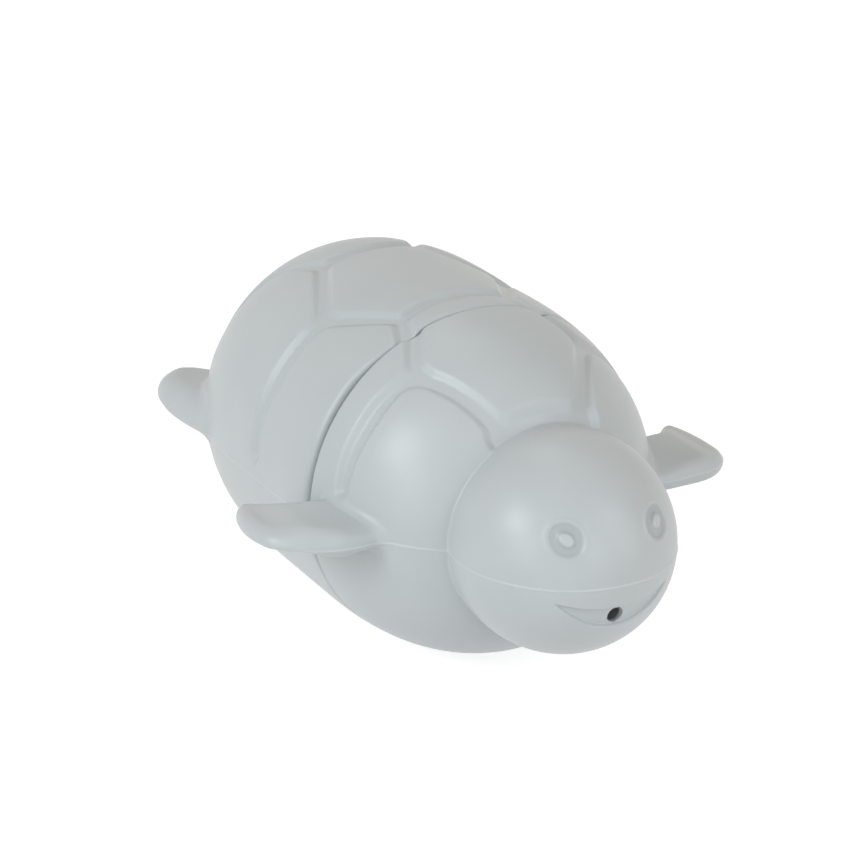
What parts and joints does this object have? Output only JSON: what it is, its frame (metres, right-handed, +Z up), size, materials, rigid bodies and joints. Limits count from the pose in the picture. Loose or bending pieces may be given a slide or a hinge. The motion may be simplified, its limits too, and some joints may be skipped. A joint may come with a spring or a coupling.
{
  "type": "squeaky bath toy",
  "caption": "Turtle bath toy moulded in soft halves that pull apart at a seam, with flippers, a smile with a squirt hole in it, and a squeaker behind the mouth.",
  "frame": {"origin": "middle of the toy's length and width, on the surface that its belly stands on", "axes": "+Z up, -Y from the tail to the head, +X to the toy's left flippers"},
  "size_m": [0.101, 0.1324, 0.0696],
  "materials": {
    "silicone": "matte moulded silicone, pale blue-grey",
    "squeaker_plastic": "satin",
    "reed_film": "satin amber film"
  },
  "bodies": {
    "front": {"front_half": "silicone", "squeaker_housing": "squeaker_plastic", "reed_block": "squeaker_plastic", "reed_clamp": "squeaker_plastic", "squeaker_cap": "squeaker_plastic"},
    "rear": {"rear_half": "silicone"},
    "reed": {"reed": "reed_film"}
  },
  "joints": [
    {"name": "rear_half_pull", "type": "slide", "parent": "front", "child": "rear", "axis": [0, 1, 0], "range_m": [0, 0.06]},
    {"name": "reed_flex", "type": "hinge", "parent": "front", "child": "reed", "pos_m": [0, -0.0546, 0.0289], "axis": [1, 0, 0], "range_deg": [-1.5, 4], "stiffness_Nm_per_rad": 0.0004}
  ]
}
